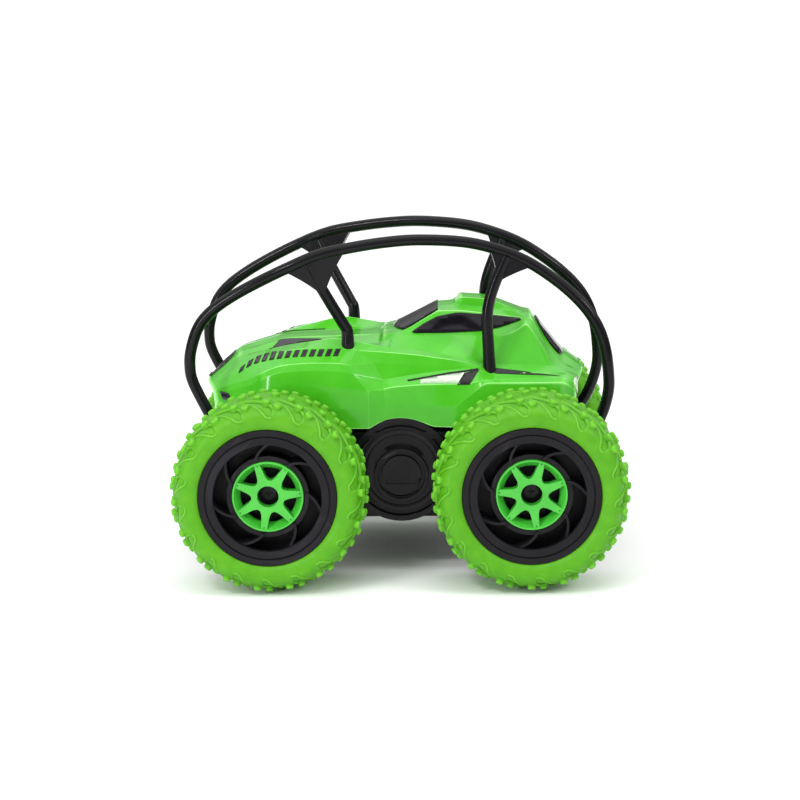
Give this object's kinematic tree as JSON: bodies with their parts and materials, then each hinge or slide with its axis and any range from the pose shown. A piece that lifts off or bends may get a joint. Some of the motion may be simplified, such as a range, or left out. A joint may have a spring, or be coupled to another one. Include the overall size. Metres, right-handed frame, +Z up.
{
  "type": "rc stunt car",
  "caption": "Radio-controlled stunt car with a sleek body between large nubbed tyres, a double roll hoop over it, and geared wheels that turn side by side.",
  "frame": {"origin": "on the ground under the middle of the car", "axes": "-X to the front of the car, -Y to its left side, +Z up"},
  "size_m": [0.2189, 0.201, 0.1649],
  "materials": {
    "body_green": "glossy green moulded plastic",
    "tyre_rubber": "soft matt green rubber",
    "rim_plastic": "satin black plastic",
    "hub_green": "satin green plastic",
    "screw_steel": "zinc-plated",
    "gear_plastic": "natural nylon",
    "brass": "turned",
    "shaft_steel": "ground",
    "motor_can": "plated",
    "cage_plastic": "glossy black moulded plastic",
    "window_dark": "glossy dark tinted",
    "trim_dark": "glossy dark inlay",
    "lamp_clear": "glossy pale lens",
    "screw_black": "blackened",
    "battery_wrap": "shrink wrap",
    "board": "coated board",
    "wire": "insulated wire",
    "switch_knob": "satin",
    "chassis_plastic": "satin black moulded plastic"
  },
  "bodies": {
    "chassis": {"chassis_tub": "chassis_plastic", "chassis_deck": "chassis_plastic", "gearbox_cover_left": "chassis_plastic", "gearbox_cover_right": "chassis_plastic", "body_shell": "body_green", "windshield": "window_dark", "side_windows": "window_dark", "rear_window": "window_dark", "headlamps": "trim_dark", "fog_lamps": "trim_dark", "tail_lamps": "lamp_clear", "hood_vents": "trim_dark", "cage_left": "cage_plastic", "cage_right": "cage_plastic", "motor_left": "motor_can", "motor_right": "motor_can", "gear_pins": "shaft_steel", "axle_bushes": "brass", "battery_pack": "battery_wrap", "circuit_board": "board", "wiring": "wire", "switch_housing": "chassis_plastic", "case_screws": "screw_steel"},
    "wheel_front_left": {"tyre_front_left": "tyre_rubber", "rim_front_left": "rim_plastic", "hub_insert_front_left": "hub_green", "wheel_screw_front_left": "screw_black", "axle_front_left": "shaft_steel", "axle_gear_front_left": "gear_plastic"},
    "idler_front_left": {"idler_front_left": "gear_plastic"},
    "wheel_rear_left": {"tyre_rear_left": "tyre_rubber", "rim_rear_left": "rim_plastic", "hub_insert_rear_left": "hub_green", "wheel_screw_rear_left": "screw_black", "axle_rear_left": "shaft_steel", "axle_gear_rear_left": "gear_plastic"},
    "idler_rear_left": {"idler_rear_left": "gear_plastic"},
    "centre_gear_left": {"centre_gear_left": "gear_plastic"},
    "rotor_left": {"motor_rotor_left": "shaft_steel", "motor_pinion_left": "brass"},
    "wheel_front_right": {"tyre_front_right": "tyre_rubber", "rim_front_right": "rim_plastic", "hub_insert_front_right": "hub_green", "wheel_screw_front_right": "screw_black", "axle_front_right": "shaft_steel", "axle_gear_front_right": "gear_plastic"},
    "idler_front_right": {"idler_front_right": "gear_plastic"},
    "wheel_rear_right": {"tyre_rear_right": "tyre_rubber", "rim_rear_right": "rim_plastic", "hub_insert_rear_right": "hub_green", "wheel_screw_rear_right": "screw_black", "axle_rear_right": "shaft_steel", "axle_gear_rear_right": "gear_plastic"},
    "idler_rear_right": {"idler_rear_right": "gear_plastic"},
    "centre_gear_right": {"centre_gear_right": "gear_plastic"},
    "rotor_right": {"motor_rotor_right": "shaft_steel", "motor_pinion_right": "brass"},
    "battery_door": {"battery_door": "chassis_plastic", "door_screw": "screw_steel"},
    "switch_slider": {"switch_slider": "switch_knob"}
  },
  "joints": [
    {"name": "wheel_front_left_spin", "type": "hinge", "parent": "chassis", "child": "wheel_front_left", "pos_m": [-0.062, 0, 0.0475], "axis": [0, 1, 0], "continuous": true},
    {"name": "wheel_rear_left_spin", "type": "hinge", "parent": "chassis", "child": "wheel_rear_left", "pos_m": [0.062, 0, 0.0475], "axis": [0, 1, 0], "continuous": true},
    {"name": "idler_front_left_spin", "type": "hinge", "parent": "chassis", "child": "idler_front_left", "pos_m": [-0.03, 0, 0.0475], "axis": [0, 1, 0], "continuous": true},
    {"name": "idler_rear_left_spin", "type": "hinge", "parent": "chassis", "child": "idler_rear_left", "pos_m": [0.03, 0, 0.0475], "axis": [0, 1, 0], "continuous": true},
    {"name": "centre_gear_left_spin", "type": "hinge", "parent": "chassis", "child": "centre_gear_left", "pos_m": [0, 0, 0.0475], "axis": [0, 1, 0], "continuous": true},
    {"name": "rotor_left_spin", "type": "hinge", "parent": "chassis", "child": "rotor_left", "pos_m": [-0.0092, 0, 0.06344], "axis": [0, 1, 0], "continuous": true},
    {"name": "wheel_front_right_spin", "type": "hinge", "parent": "chassis", "child": "wheel_front_right", "pos_m": [-0.062, 0, 0.0475], "axis": [0, 1, 0], "continuous": true},
    {"name": "wheel_rear_right_spin", "type": "hinge", "parent": "chassis", "child": "wheel_rear_right", "pos_m": [0.062, 0, 0.0475], "axis": [0, 1, 0], "continuous": true},
    {"name": "idler_front_right_spin", "type": "hinge", "parent": "chassis", "child": "idler_front_right", "pos_m": [-0.03, 0, 0.0475], "axis": [0, 1, 0], "continuous": true},
    {"name": "idler_rear_right_spin", "type": "hinge", "parent": "chassis", "child": "idler_rear_right", "pos_m": [0.03, 0, 0.0475], "axis": [0, 1, 0], "continuous": true},
    {"name": "centre_gear_right_spin", "type": "hinge", "parent": "chassis", "child": "centre_gear_right", "pos_m": [0, 0, 0.0475], "axis": [0, 1, 0], "continuous": true},
    {"name": "rotor_right_spin", "type": "hinge", "parent": "chassis", "child": "rotor_right", "pos_m": [-0.0092, 0, 0.06344], "axis": [0, 1, 0], "continuous": true},
    {"name": "battery_door_hinge", "type": "hinge", "parent": "chassis", "child": "battery_door", "pos_m": [-0.0158, 0, 0.0283], "axis": [0, 1, 0], "range_deg": [0, 38]},
    {"name": "power_switch_slide", "type": "slide", "parent": "chassis", "child": "switch_slider", "axis": [1, 0, 0], "range_m": [0, 0.003]}
  ],
  "couplings": [
    {"joint": "wheel_front_left_spin", "follows": "wheel_rear_left_spin", "ratio": 1},
    {"joint": "idler_front_left_spin", "follows": "wheel_rear_left_spin", "ratio": -0.77778},
    {"joint": "idler_rear_left_spin", "follows": "wheel_rear_left_spin", "ratio": -0.77778},
    {"joint": "centre_gear_left_spin", "follows": "wheel_rear_left_spin", "ratio": 1.1667},
    {"joint": "rotor_left_spin", "follows": "wheel_rear_left_spin", "ratio": -4.2},
    {"joint": "wheel_front_right_spin", "follows": "wheel_rear_right_spin", "ratio": 1},
    {"joint": "idler_front_right_spin", "follows": "wheel_rear_right_spin", "ratio": -0.77778},
    {"joint": "idler_rear_right_spin", "follows": "wheel_rear_right_spin", "ratio": -0.77778},
    {"joint": "centre_gear_right_spin", "follows": "wheel_rear_right_spin", "ratio": 1.1667},
    {"joint": "rotor_right_spin", "follows": "wheel_rear_right_spin", "ratio": -4.2}
  ]
}
